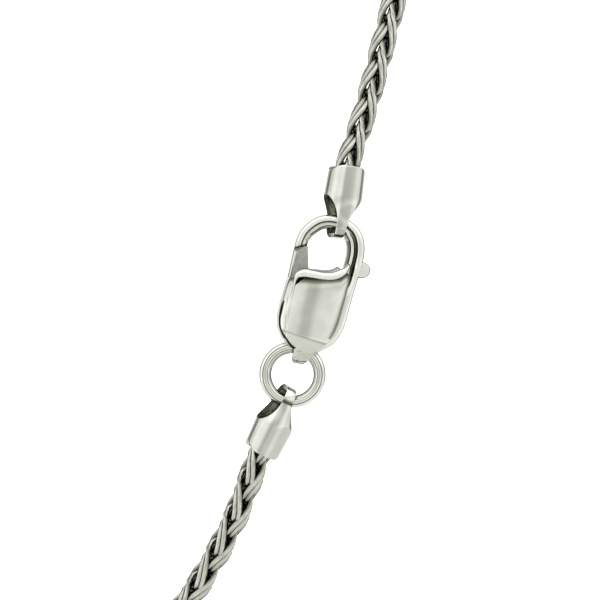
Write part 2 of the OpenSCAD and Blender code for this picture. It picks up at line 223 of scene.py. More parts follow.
FLANGE_SECTION = np.array([
    [0, 0, 1], [0, -0.4, 1], [0.01, -0.66, 1], [0.04, -0.83, 1], [0.1, -0.93, 1],
    [0.18, -0.98, 1], [0.26, -1, 1], [0.34, -1, 1], [0.4, -1, 0.97], [0.45, -1, 0.9],
    [0.5, -0.995, 0.75], [0.55, -0.99, 0.55], [0.6, -0.98, 0.45], [0.65, -0.97, 0.5],
    [0.7, -0.96, 0.6], [0.76, -0.95, 0.7], [0.82, -0.94, 0.8], [0.88, -0.9, 0.8],
    [0.95, -0.8, 0.8], [1, -0.5, 0.8], [1, 0, 1], [1, 0.5, 1], [0.95, 0.9, 1], [0.8, 1, 1],
    [0.6, 1, 1], [0.3, 1, 1], [0.05, 0.85, 1], [0, 0.4, 1]])


def eased(value, low, high):
    """Rises from 0 to 1 between low and high, level at both ends."""
    t = np.clip((value - low) / (high - low), 0, 1)
    return t * t * (3 - 2 * t)


def closed_ends(count, sections):
    """One face over each end of a tube of so many sections with so many points each."""
    return [list(range(count)),
            list(range((sections - 1) * count, sections * count))[::-1]]


def clasp_band():
    """The section carried along the edge: each point is the edge's point, moved inwards across
    it by the section's width there, and front to back by its depth. The tip's end slants up
    inwards as the gate's top does."""
    count = 260
    edge = curve_through(BAND_EDGE, count)
    ahead = headings(edge)
    inward = np.stack([ahead[:, 1], -ahead[:, 0]], -1)
    s = np.linspace(0, 1, count)
    leg, flange = eased(s, 0.19, 0.27), eased(s, 0.39, 0.47)
    section = ((1 - leg)[:, None, None] * HOOK_SECTION
               + (leg - flange)[:, None, None] * LEG_SECTION
               + flange[:, None, None] * FLANGE_SECTION)
    width = np.interp(s, [0, 0.03, 0.1, 0.2, 0.28, 0.74, 0.82, 1],
                      [1.12, 1.2, 1.25, 1.25, 1.3, 1.3, 0.5, 0.45])
    depth = np.interp(s, [0, 0.38, 0.48, 0.7, 0.82, 1], [0.85, 0.85, 1.12, 1.15, 0.95, 0.9])
    across = section[:, :, 0] * width[:, None]
    slant = math.tan(math.radians(TIP_SLOPE)) * across * np.clip(1 - s / 0.1, 0, 1)[:, None]
    flat_points = (edge[:, None] + inward[:, None] * across[:, :, None]
                   + ahead[:, None] * slant[:, :, None])
    points = np.stack([flat_points[..., 0], section[:, :, 1] * depth[:, None],
                       flat_points[..., 1]], -1)
    sides = HOOK_SECTION.shape[0]
    faces = list(grid_faces(count, sides, wrap_columns=True)) + closed_ends(sides, count)
    faces = [face[::-1] for face in faces]
    # Painted shade: darkest at the tip's end against the gate, in a dark line along the side that
    # faces the pillow's slanting left wall, and in the grooves that the sections give.
    tip_shade = np.clip((s - 0.003) / 0.006, 0.05, 1)[:, None]
    gap_shade = (eased(s, 0.75, 0.77) - eased(s, 0.91, 0.93))[:, None] * (across > 0.2)
    dark_leg = eased(s, 0.22, 0.34)[:, None]
    painted_light = np.where(flange[:, None] > 0, section[:, :, 2],
                     HOOK_SECTION[:, 2] * (1 - dark_leg) + LEG_SECTION[:, 2] * dark_leg)
    return on_clasp(points), faces, painted_light * tip_shade * (1 - gap_shade)


points, faces, painted_light = clasp_band()
piece("clasp_band", points, faces, polished, "clasp_body", painted_light=painted_light)

# Clasp pillow: the crowned front of the body, cast in one with the band and polished. It is
# hollowed under the lip, slants off on its left side, and is bevelled down to the eye.
PILLOW_EDGE = [
    [-2.35, 0.5], [-1.9, 0.95], [-1, 1.15], [0, 1.2], [0.9, 1.35], [1.5, 1.7], [2.0, 2.0],
    [2.42, 1.7], [2.5, 0.4], [2.45, -1.2], [2.35, -2.6], [2.2, -3.5], [1.95, -4.35],
    [1.5, -5.1], [0.85, -5.75], [0.2, -5.93], [-0.6, -5.9], [-1.15, -5.75], [-2.05, -4.95],
    [-2.55, -4.35], [-2.82, -3.6], [-2.86, -2.5], [-2.84, -1.4], [-2.76, -0.4], [-2.62, 0.2]]
PILLOW_MIDDLE = np.array([0.0, -2.2])
PILLOW_FRONT, PILLOW_FALL, PILLOW_RIM, PILLOW_BACK = 1.9, 0.5, 1.15, 1.2
HOLLOW, BEVEL_FRONT, BEVEL_RUN = 0.18, 1.25, 1.35


def smooth_least(a, b, soft):
    """The lesser of two heights, with the crease between them rounded over so many mm."""
    h = np.clip(0.5 + 0.5 * (b - a) / soft, 0, 1)
    return b + (a - b) * h - soft * h * (1 - h)


def clasp_pillow():
    """Rings from the middle out to the edge, then a wall to the back and rings in to the
    middle again. The front's height is a crown across, less the hollow below the lip, and no
    more than the bevel at the foot and the slope of the side wall."""
    turns, rings = 260, 64
    edge = curve_through(PILLOW_EDGE, turns, closed=True)
    middle = PILLOW_MIDDLE
    share = 1 - (1 - np.linspace(0.003, 1, rings)) ** 1.4
    spread = middle + share[:, None, None] * (edge - middle)[None]
    x, z = spread[..., 0], spread[..., 1]
    to_edge = (1 - share)[:, None] * np.linalg.norm(edge - middle, axis=1)[None]
    crown = PILLOW_FRONT - PILLOW_FALL * ((x - 0.1) / 2.3) ** 2
    lip_line = np.interp(x, [-2.2, -1.5, 0, 1, 1.8, 2.3], [0.55, 0.6, 0.75, 0.95, 1.2, 1.8])
    below = np.clip(lip_line - z, 0, None)
    hollow = HOLLOW * np.exp(-(below / 0.4) ** 1.5)
    below_crease = -4.35 - 0.1 * (x + 2.2) - z
    bevel = crown - (crown - BEVEL_FRONT) * below_crease / BEVEL_RUN
    left = np.clip((-1.0 - edge[:, 0]) / 1.2, 0, 1) * np.clip((edge[:, 1] + 5.2) / 0.8, 0, 1)
    wall = 0.12 + 0.55 * left
    rise = np.clip(to_edge / wall[None], 0, 1)
    foot = 1.15 - 0.25 * left
    top = smooth_least(crown - hollow, bevel, 0.12)
    height = foot[None] + (top - foot[None]) * np.sqrt(np.clip(1 - (1 - rise) ** 2, 0, 1))
    straight = foot[None] + (top - foot[None]) * rise
    height = height + (straight - height) * left[None] * 0.75
    front = np.stack([x, -height, z], -1)
    rim = np.stack([edge[:, 0], np.full(turns, PILLOW_RIM), edge[:, 1]], -1)[None]
    inset = np.append(0.97, share[-7::-3])
    flat = middle + inset[:, None, None] * (edge - middle)
    back = np.stack([flat[..., 0], np.full(flat.shape[:2], PILLOW_BACK), flat[..., 1]], -1)
    points = np.concatenate([front, rim, back])
    rows = points.shape[0]
    faces = list(grid_faces(rows, turns, wrap_columns=True)[:, ::-1])
    faces += [list(range(turns))[::-1], list(range((rows - 1) * turns, rows * turns))]
    # Painted shade and reflections on the pillow: a shadow painted under the lip, a shade line
    # along the crease above the bevel, a dark line by the right edge, shade in the gap along the
    # slanted left side, a greyer band down the middle that stands in for a reflection, and a
    # slightly darker bevel.
    shadow = np.interp(x, [-2, -0.9, 0.5, 2], [0.8, 0.75, 0.55, 0.5])
    lip_shadow = 1 - shadow * np.exp(-(below / np.interp(x, [-2, 2], [0.32, 0.2])) ** 1.6)
    lip_shadow = lip_shadow - 0.25 * np.exp(-(below / 0.75) ** 2)
    crease_shade = 1 - 0.22 * np.exp(-(below_crease / 0.1) ** 2)
    right_shade_line = 1 - 0.55 * np.exp(-(to_edge / 0.27) ** 2) * (x > 1.5) * (z > -4.2)
    in_crack = (edge[:, 0] < -0.95) & (edge[:, 1] < -1.75)
    crack_wide = np.interp(edge[:, 1], [-5.7, -5.2, -4.5], [0.22, 0.16, 0.09])
    gap_shade = 1 - in_crack * np.clip(1 - (to_edge - crack_wide) / 0.06, 0, 1)
    reflection_band = np.interp(x, [-1.2, -0.75, -0.2, 0.35], [0.94, 0.82, 0.82, 0.96])
    reflection_band = np.where(below_crease > 0, 0.9, reflection_band)
    painted_light = lip_shadow * crease_shade * right_shade_line * gap_shade * reflection_band
    return on_clasp(points), faces, np.vstack([painted_light, np.ones((1 + inset.size, turns))])


points, faces, painted_light = clasp_pillow()
piece("clasp_pillow", points, faces, polished, "clasp_body", painted_light=painted_light)

# Clasp lip: the rolled bead along the top of the pillow, from the hook's right leg to its left
# corner, where it thins and runs down as the pillow's bright left edge. Behind it stands the
# plain rim of the back wall.
def bead(knots, count=70, sides=20, blunt=6.0):
    """An ellipse carried along a curve in the clasp's plane. Each knot is [x, z, y, half width,
    half depth]. The size falls at both ends as the quarter circle does, to round them off."""
    line = curve_through(knots, count)
    ahead = headings(line[:, :2])
    inward = np.stack([ahead[:, 1], -ahead[:, 0]], -1)
    run = np.linspace(0, 1, count)
    near = np.clip(np.minimum(run, 1 - run) * blunt * 2, 0, 1)
    size = np.sqrt(np.clip(1 - (1 - near) ** 2, 0.0004, 1))
    wide, deep = line[:, 3] * size, line[:, 4] * size
    turn = np.linspace(0, 2 * np.pi, sides, endpoint=False)
    flat = line[:, None, :2] + inward[:, None] * (wide[:, None] * np.cos(turn))[..., None]
    points = np.stack([flat[..., 0], line[:, 2:3] - deep[:, None] * np.sin(turn),
                       flat[..., 1]], -1)
    faces = list(grid_faces(count, sides, wrap_columns=True)) + closed_ends(sides, count)
    # Painted shade: dark lines along the bead's two flanks, with its front and back left bright.
    painted_light = np.clip((np.abs(np.sin(turn)) - 0.12) / 0.4, 0, 1)
    return on_clasp(points), faces, np.tile(painted_light, (count, 1))


LIP = [[-2.1, -3.9, -1.36, 0.05, 0.08], [-2.17, -3, -1.4, 0.06, 0.1],
       [-2.13, -1.5, -1.4, 0.06, 0.1], [-2.18, -0.4, -1.4, 0.07, 0.12],
       [-2.2, 0.3, -1.4, 0.14, 0.2], [-2.06, 0.75, -1.48, 0.3, 0.34],
       [-1.6, 1.04, -1.5, 0.4, 0.4], [-0.8, 1.11, -1.52, 0.4, 0.4], [0.2, 1.16, -1.52, 0.4, 0.4],
       [0.95, 1.31, -1.5, 0.4, 0.4], [1.45, 1.58, -1.4, 0.4, 0.4], [1.85, 1.95, -1.25, 0.34, 0.4],
       [2.12, 2.35, -1.0, 0.22, 0.4], [2.2, 2.8, -0.75, 0.14, 0.3]]
points, faces, painted_light = bead(LIP, count=160, blunt=14)
piece("clasp_lip", points, faces, polished, "clasp_body", painted_light=painted_light)
BACK_RIM = [[-1.5, 1.15, 0.2, 0.42, 0.85], [-0.6, 1.27, 0.2, 0.42, 0.85],
            [0.3, 1.38, 0.2, 0.42, 0.85], [1.1, 1.68, 0.2, 0.42, 0.85],
            [1.6, 2.15, 0.2, 0.42, 0.85]]
satin = silver("rhodium_silver_satin", "B4B5B0", "C8C9C4", 0.26, 0.38, 0.5, 0.12,
               paints_shade=False)
points, faces, painted_light = bead(BACK_RIM)
piece("clasp_back_rim", points, faces, satin, "clasp_body")

# Clasp eye: the tapered plate at the foot, folded under and up the back, that the jump ring
# hangs in.
EYE_Z, EYE_R, TAB_WALL = -5.7, 0.85, 0.45


def clasp_eye():
    """A flat profile carried round the eye from front to back: [y, z] follows a half circle
    under the bore between two upright runs, and the left and right edges close in below."""
    outer = EYE_R + TAB_WALL
    turn = np.linspace(0, np.pi, 33)
    under_y = np.sign(np.cos(turn)) * np.abs(np.cos(turn)) ** 0.62
    under_z = np.sin(turn) ** 0.62
    line = np.concatenate([[[-1.1, -4.9], [-1.22, -5.4]],
                           np.stack([-outer * under_y, EYE_Z - outer * under_z], -1),
                           [[1.22, -5.4], [1.1, -4.9]]])
    inner = np.concatenate([[[-0.85, -4.9], [-0.87, -5.4]],
                            np.stack([-EYE_R * np.cos(turn), EYE_Z - EYE_R * np.sin(turn)], -1),
                            [[0.87, -5.4], [0.85, -4.9]]])
    left = np.interp(line[:, 1], [-7.0, -6.85, -4.9], [-0.9, -1.0, -1.05])
    right = np.interp(line[:, 1], [-7.0, -6.7, -6.0, -4.9], [0.1, 0.38, 0.88, 1.0])
    ease = 0.07
    stations = [(left, line * 0.3 + inner * 0.7), (left, line * 0.8 + inner * 0.2),
                (left + ease, line), (right - ease, line),
                (right, line * 0.8 + inner * 0.2), (right, line * 0.3 + inner * 0.7),
                (right - ease, inner), (left + ease, inner)]
    points = np.stack([np.stack([x, at[:, 0], at[:, 1]], -1) for x, at in stations], 1)
    rows, sides = points.shape[:2]
    faces = list(grid_faces(rows, sides, wrap_columns=True)) + closed_ends(sides, rows)
    # Painted shade: darker along the bottom end, darkest on the left side and a little darker on
    # the right.
    low = np.clip((line[:, 1] + 6.93) / 0.1, 0.15, 1)[:, None]
    left_shade = np.array([0.1, 0.15, 0.84, 0.84, 0.7, 0.7, 1, 1])
    return on_clasp(points), faces, low * left_shade


points, faces, painted_light = clasp_eye()
piece("clasp_eye", points, faces, polished, "clasp_body", painted_light=painted_light)

# Lever: one stamped plate with a brushed face. Its gate closes the hook on the left, with a
# polished outer edge, and its polished thumb nub stands out at the right. It turns on the pin,
# whose ends are hidden.
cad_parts["lever_pin"].data.materials.clear()
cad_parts["lever_pin"].data.materials.append(satin)
brushed = silver("silver_brushed", "84857F", "9A9B95", 0.34, 0.46, 0.5, 0.12, paints_shade=False)


def merged_copy(name):
    """A CAD node's mesh as a new mesh, with the points of its loose triangles merged."""
    cast = bmesh.new()
    cast.from_mesh(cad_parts[name].data)
    bmesh.ops.remove_doubles(cast, verts=cast.verts, dist=0.002 * MM)
    bmesh.ops.dissolve_limit(cast, angle_limit=math.radians(1), verts=cast.verts,
                             edges=cast.edges)
    made = bpy.data.meshes.new(name)
    cast.to_mesh(made)
    cast.free()
    return made


lever = bpy.data.objects.new("lever_plate", merged_copy("clasp_lever"))
bpy.context.scene.collection.objects.link(lever)
lever.data.materials.append(brushed)
lever.data.shade_smooth()
softened = lever.modifiers.new("edges", "BEVEL")
softened.width = 0.09 * MM
softened.segments = 3
softened.limit_method = "ANGLE"
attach(lever, "lever")
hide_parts("clasp_lever")
GATE_EDGE = [[-2.74, 0.3, 0, 0.22, 0.62], [-2.74, 1.2, 0, 0.22, 0.62],
             [-2.73, 2.2, 0, 0.22, 0.62], [-2.71, 2.94, 0, 0.22, 0.62]]
points, faces, painted_light = bead(GATE_EDGE, count=40, blunt=14)
piece("lever_gate_edge", points, faces, polished, "clasp_lever", "lever",
      painted_light=painted_light)
NUB_HALF = 0.66
NUB_EDGE = [[3.0, 3.05], [3.5, 3.15], [3.95, 2.99], [4.21, 2.62], [4.16, 2.17], [3.85, 1.82],
            [3.4, 1.66], [3.0, 1.75]]


def pebble(knots, half, turns=72, rings=18):
    """Rings from the middle out to a closed edge and back behind it. The half thickness falls
    towards the edge as the root of 1 - share^20, so that the faces are flat and the rim round."""
    edge = curve_through(knots, turns, closed=True)
    middle = edge.mean(axis=0)
    share = np.sin(np.linspace(0.002, np.pi / 2, rings))
    share = np.concatenate([share, share[-2::-1]])
    side = np.where(np.arange(share.size) < rings, -1, 1)
    flat = middle + share[:, None, None] * (edge - middle)
    y = side * half * np.clip(1 - share ** 20, 0, 1) ** 0.4
    points = np.stack([flat[..., 0], np.broadcast_to(y[:, None], flat.shape[:2]), flat[..., 1]], -1)
    rows = points.shape[0]
    faces = list(grid_faces(rows, turns, wrap_columns=True)[:, ::-1])
    faces += [list(range(turns))[::-1], list(range((rows - 1) * turns, rows * turns))]
    # Painted shade: a dark line round the nub's rim.
    painted_light = 1 - 0.9 * np.exp(-((share - 0.95) / 0.07) ** 2)
    return on_clasp(points), faces, np.repeat(painted_light[:, None], turns, axis=1)


points, faces, painted_light = pebble(NUB_EDGE, NUB_HALF)
piece("lever_nub", points, faces, polished, "clasp_lever", "lever", painted_light=painted_light)

# Jump ring: round silver wire bent to a ring and soldered shut, so no seam shows.
RING_D, RING_WIRE, RING_SWING = 6.0, 1.1, 15.2
RING_R = (RING_D - RING_WIRE) / 2
swing = math.radians(RING_SWING)
ring_on_clasp = np.array([-RING_R * math.sin(swing), EYE_Z - RING_R * math.cos(swing)])
RING_AT = leant(ring_on_clasp, CLASP_LEAN) + CLASP_AT


def torus(at, radius, wire, around=120, sides=120):
    """A circle of wire carried round a larger circle that faces the viewer."""
    a = np.linspace(0, 2 * np.pi, around, endpoint=False)[:, None]
    b = np.linspace(0, 2 * np.pi, sides, endpoint=False)[None]
    far = radius + wire / 2 * np.cos(b)
    points = np.stack([at[0] + far * np.cos(a), wire / 2 * np.sin(b) + 0 * a,
                       at[1] + far * np.sin(a)], -1)
    # Painted reflections: dark lines round the ring at set places across the wire, with all but the
    # wire's outermost part a little darker.
    across = np.cos(b) + 0 * a
    painted_light = np.where(across < 0.38, 0.95, 1)
    for place, fall, soft in ((0.4, 0.8, 0.07), (0.0, 0.3, 0.05), (-0.35, 0.6, 0.06),
                              (-0.62, 0.3, 0.05), (-0.97, 0.95, 0.1)):
        painted_light = painted_light - fall * np.exp(-((across - place) / soft) ** 2)
    faces = list(grid_faces(around, sides, True, True)[:, ::-1])
    return points, faces, np.clip(painted_light, 0, 1)


points, faces, painted_light = torus(RING_AT, RING_R, RING_WIRE)
piece("jump_ring_wire", points, faces, polished, "jump_ring", painted_light=painted_light)

# End caps: each a short silver tube, cut away at both sides, whose two straps are bent
# together under it. The chain's end is soldered in the tube. The straps sit a little to one
# side, as a cap that was bent by hand has them.
HOOK_IN, HOOK_SHIFT, HOOK_Z, HOOK_BEAR = 2.0, 0.25, 3.55, 0.36
RING_BEAR, BEND_SLACK = 10.7, 0.38
UPPER_LEAN, LOWER_LEAN, CAP_TURN = 8.4, 26.2, 20.0
CAP_LEN, CAP_R, MOUTH_R, CUT_H, FLARE_Z = 6.15, 1.75, 1.65, 3.4, 0.7
STRAP_HALF, STRAP_OUT, STRAP_T, CORNER, BEND_R = 0.5, 1.35, 0.4, 1.0, 1.06


def upright(angle):
    """The direction [x, z] that leans to the right of upright by the angle."""
    return np.array([math.sin(math.radians(angle)), math.cos(math.radians(angle))])


hook_inner = np.array([HOOK_SHIFT + HOOK_BEAR, HOOK_Z + math.sqrt(HOOK_IN ** 2 - HOOK_BEAR ** 2)])
UPPER_AXIS, LOWER_AXIS = upright(UPPER_LEAN), -upright(LOWER_LEAN)
UPPER_AT = leant(hook_inner, CLASP_LEAN) + CLASP_AT - BEND_SLACK * UPPER_AXIS
LOWER_AT = (RING_AT - (RING_R - RING_WIRE / 2) * upright(RING_BEAR)
            - BEND_SLACK * LOWER_AXIS)


def cap_strip(aside):
    """The strip that folds into a cap, from the front of the mouth round the bend to the back
    of the mouth. Across it, each point lies on an arc: half the tube above the side cuts, then
    a narrower and flatter arc down to the bend."""
    heights = np.concatenate([np.linspace(1, CUT_H, 30)[:-1], np.linspace(CUT_H, CAP_LEN, 16)])
    bend = np.linspace(0, np.pi / 2, 14)
    run_y = np.concatenate([np.full(heights.size, -STRAP_OUT)[::-1],
                            -(STRAP_OUT - CORNER) - CORNER * np.cos(bend)])
    run_z = np.concatenate([heights[::-1], CORNER - STRAP_T - CORNER * np.sin(bend)])
    keep = np.r_[True, np.abs(np.diff(run_z)) + np.abs(np.diff(run_y)) > 1e-6]
    run_y, run_z = run_y[keep], run_z[keep]
    s = np.clip((run_z - FLARE_Z) / (CUT_H - FLARE_Z), 0, 1)
    tube = np.clip((run_z - CUT_H) / (CAP_LEN - CUT_H), 0, 1)
    radius = CAP_R + (MOUTH_R - CAP_R) * tube
    half = np.where(run_z >= CUT_H, radius, STRAP_HALF + (CAP_R - STRAP_HALF) * s ** 1.9)
    half = half - 0.07 * np.clip((0.3 - run_z) / 0.7, 0, 1)
    bow = np.where(run_z >= CUT_H, radius, BEND_R + (CAP_R - BEND_R) * eased(s, 0, 1))
    arc = np.arcsin(np.clip(half / bow, 0, 1))
    reach = np.where(run_z >= CUT_H, radius, STRAP_OUT + (CAP_R - STRAP_OUT) * eased(s, 0, 1))
    u = np.linspace(-1, 1, 33)[None]
    x = bow[:, None] * np.sin(u * arc[:, None])
    dip = bow[:, None] * (1 - np.cos(u * arc[:, None]))
    x = x + aside * (1 - s[:, None])
    mouth = np.where(run_z > CUT_H, 0.6 * tube, 0)[:, None] * np.abs(np.sin(u * np.pi / 2)) ** 5
    y = np.where(run_z[:, None] > CORNER - STRAP_T, -(reach[:, None] - dip),
                 run_y[:, None] + dip)
    front = np.stack([x, y, run_z[:, None] - mouth], -1)
    under = front[::-1] * [1, -1, 1]
    return np.concatenate([front, under])


# Inside the caps the silver is as it came from soldering: dark, dull and pitted
oxidised = silver("silver_oxidised", "57574A", "A3A193", 0.38, 0.5, 0.3, 0.12, paints_shade=False)


def end_cap(name, at, angle, turn, aside, replaced, painted_shine, crease_z):
    """The strip turned about its own axis, leant in the loop's plane, and given its wall. The
    painted value follows the shine table, [bearing in degrees, painted value], round the tube,
    painting reflections as bright and grey bands, and drops at the crease across the strap as a
    painted shade line."""
    strip = cap_strip(aside)
    c, s = math.cos(math.radians(turn)), math.sin(math.radians(turn))
    x, y = strip[..., 0] * c - strip[..., 1] * s, strip[..., 0] * s + strip[..., 1] * c
    flat = leant(np.stack([x, strip[..., 2]], -1), angle) + at
    points = np.stack([flat[..., 0], y, flat[..., 1]], -1)
    rows, columns = points.shape[:2]
    facing = np.degrees(np.arctan2(x * math.copysign(1, math.cos(math.radians(angle))), -y))
    painted_shine = np.array(painted_shine)
    painted_light = np.interp(facing, painted_shine[:, 0], painted_shine[:, 1])
    painted_light = np.where(strip[..., 2] < crease_z, 1, painted_light)
    painted_light = painted_light * (1 - 0.85 * np.exp(-((strip[..., 2] - crease_z) / 0.09) ** 2) * (y < 0))
    # Painted shade: the strap's edges at the back, below the side cuts, are made nearly black.
    edge_on = np.abs(np.linspace(-1, 1, columns)) > 0.95
    painted_light = np.where(edge_on & (strip[..., 1] > 0) & (strip[..., 2] < CUT_H), 0.1, painted_light)
    made = piece(name, points, list(grid_faces(rows, columns)[:, ::-1]), polished,
                 replaced, painted_light=painted_light)
    made.data.materials.append(oxidised)
    sheet = bmesh.new()
    sheet.from_mesh(made.data)
    bmesh.ops.remove_doubles(sheet, verts=sheet.verts, dist=0.004 * MM)
    bmesh.ops.recalc_face_normals(sheet, faces=sheet.faces)
    sheet.to_mesh(made.data)
    sheet.free()
    wall = made.modifiers.new("wall", "SOLIDIFY")
    wall.thickness = STRAP_T * MM
    wall.offset = -1
    wall.material_offset = 1
    soft = made.modifiers.new("edges", "BEVEL")
    soft.width = 0.06 * MM
    soft.segments = 2
    soft.limit_method = "ANGLE"
    soft.angle_limit = math.radians(50)
    return made


# Painted reflections round each cap, as [bearing in degrees, painted value]: bright stripes and
# grey bands.
UPPER_PAINTED_SHINE = [[-90, 0.8], [-40, 0.82], [-34, 0.88], [-20, 0.88], [-16, 1], [-8, 1], [-4, 0.76],
               [2, 0.73], [28, 0.78], [38, 0.95], [90, 0.95]]
LOWER_PAINTED_SHINE = [[-90, 0.82], [-26, 0.86], [-19, 1], [-13, 1], [-8, 0.8], [8, 0.76], [17, 0.95],
               [23, 0.95], [32, 0.84], [90, 0.86]]
end_cap("end_cap_upper_shell", UPPER_AT, UPPER_LEAN, CAP_TURN, -0.2, "end_cap_upper",
        UPPER_PAINTED_SHINE, -0.2)
end_cap("end_cap_lower_shell", LOWER_AT, LOWER_LEAN + 180, -CAP_TURN, 0.25, "end_cap_lower",
        LOWER_PAINTED_SHINE, 1.0)

# Wheat chain: two rows of links, each link two drawn silver wires bent side by side into an
# oval that twists a quarter turn. The rows twist opposite ways and each link passes through
# the next of both rows. The wires cut into one another where they cross inside the chain.
LOOP_W, CLASP_DROP, CHAIN_D, CHAIN_GRIP = 95.8, 144.0, 2.4, 2.2
ROUTE = np.array([
    [75.2, 90.1], [80.8, 83.1], [87.7, 73.8], [93.5, 63.3], [97.7, 52.9], [100, 42.5],
    [99.8, 32.4], [93.1, 22], [77.2, 12.6], [54.3, 5.6], [28.2, 1.5], [0, 0], [-28.2, 1.5],
    [-54.3, 5.6], [-77.2, 12.6], [-93.1, 22], [-99.8, 32.4], [-100, 42.5], [-97.7, 52.9],
    [-93.3, 63.3], [-88.1, 73.8], [-82.7, 83.1], [-76.4, 93.2], [-68.7, 104], [-59.7, 113.3],
    [-47.8, 121.2], [-28, 127.2], [-3.1, 129.3], [22.5, 127.1], [40.5, 121.1], [50.9, 115.3]])
route = np.stack([ROUTE[:, 0] * LOOP_W / 200, CHAIN_D / 2 - ROUTE[:, 1] * CLASP_DROP / 100], -1)
BEYOND = 2.0
deepest = CAP_LEN - CHAIN_GRIP - BEYOND
line = curve_through(np.vstack([
    UPPER_AT + deepest * UPPER_AXIS, UPPER_AT + CAP_LEN * UPPER_AXIS, route,
    LOWER_AT + CAP_LEN * LOWER_AXIS, LOWER_AT + deepest * LOWER_AXIS]), 1800)
run = np.r_[0, np.cumsum(np.linalg.norm(np.diff(line, axis=0), axis=1))] - BEYOND
chain_len = run[-1] - BEYOND
LINK_COUNT = 126
WIRE_AROUND, WIRE_SIDES = 26, 6
FACE_FIRST, FACE_TURN = 10, 70
WIRE_D = 0.52
LINK_R, LINK_LEN, LINK_SQUARE, LINK_EASE = 0.92, 4.8, 3.6, 0.4
WIRE_APART = 0.4
ROW_SHIFT = 0.45
NEST = {1: 1.0, -1: 0.0}
NEST_FROM = 0.05
PINCH_TOP = {1: -0.05, -1: 0.5}
PINCH_FOOT = {1: -0.05, -1: 0.45}
PINCH_POWER = {1: 3, -1: 2}
link_pitch = (chain_len - LINK_LEN - 2 * WIRE_D) / (LINK_COUNT - 2 + ROW_SHIFT)


def spread(path, count, crowd=0.0):
    """Points spread round a closed path, closer together towards its two ends: their spacing
    falls by one plus crowd there."""
    ring = np.vstack([path, path[:1]])
    step = np.linalg.norm(np.diff(ring, axis=0), axis=1)
    end = np.abs(path[:, 2]) / np.abs(path[:, 2]).max()
    far = np.r_[0, np.cumsum(step * (1 + crowd * end ** 8))]
    at = np.linspace(0, far[-1], count, endpoint=False)
    return np.stack([np.interp(at, far, ring[:, k]) for k in range(ring.shape[1])], -1)


def link_wires(hand, around, sides):
    """The two wires of one link about its own middle, upright. The middle line is a squarish
    oval whose halves turn a quarter turn from the top bend to the bottom one, to one hand or
    the other, and pinch in towards the ends. Each wire lies to one side of it."""
    t = np.linspace(0, 2 * np.pi, 2400, endpoint=False)
    c, s = np.cos(t), np.sin(t)
    power = 2 / LINK_SQUARE
    out = LINK_R * np.sign(c) * np.abs(c) ** power
    z = LINK_LEN / 2 * np.sign(s) * np.abs(s) ** power
    down = np.clip(0.5 - z / LINK_LEN, 0, 1)
    turn = hand * np.pi / 2 * (down - LINK_EASE * np.sin(2 * np.pi * down) / (2 * np.pi))
    out = out * (1 - np.where(z > 0, PINCH_TOP[hand], PINCH_FOOT[hand])
                 * np.abs(2 * z / LINK_LEN) ** PINCH_POWER[hand])
    oval = spread(np.stack([out * np.cos(turn), out * np.sin(turn), z], -1), 96)
    for _ in range(5):
        oval = (np.roll(oval, 1, 0) + 2 * oval + np.roll(oval, -1, 0)) / 4
    ahead = headings(oval, closed=True)
    end = np.clip(np.abs(oval[:, 2]) / (LINK_LEN / 2), 0, 1) ** 6
    outward = oval / LINK_R * [1, 1, 0]
    outward[:, 2] = np.sign(oval[:, 2]) * end * 1.2
    outward -= (outward * ahead).sum(1)[:, None] * ahead
    outward /= np.linalg.norm(outward, axis=1)[:, None]
    beside = np.cross(ahead, outward)
    nest = np.clip((oval[:, 2] / LINK_LEN - NEST_FROM) / (0.5 - NEST_FROM), 0, 1)[:, None]
    nest = nest * nest * (3 - 2 * nest) * NEST[hand] * np.pi / 2
    beside = np.cos(nest) * beside + np.sin(nest) * outward
    wires = []
    for side in (1, -1):
        both = np.hstack([oval + side * WIRE_APART / 2 * beside, oval])
        both = spread(both, around, 3.0)
        middle = both[:, :3]
        along = headings(middle, closed=True)
        lift = both[:, 3:] - middle
        lift -= (lift * along).sum(1)[:, None] * along
        lift /= np.linalg.norm(lift, axis=1)[:, None]
        aside = np.cross(along, lift)
        a = np.linspace(0, 2 * np.pi, sides, endpoint=False)[None, :, None]
        wires.append(middle[:, None] + WIRE_D / 2 * (np.cos(a) * lift[:, None]
                                                     + np.sin(a) * aside[:, None]))
    return np.stack(wires)


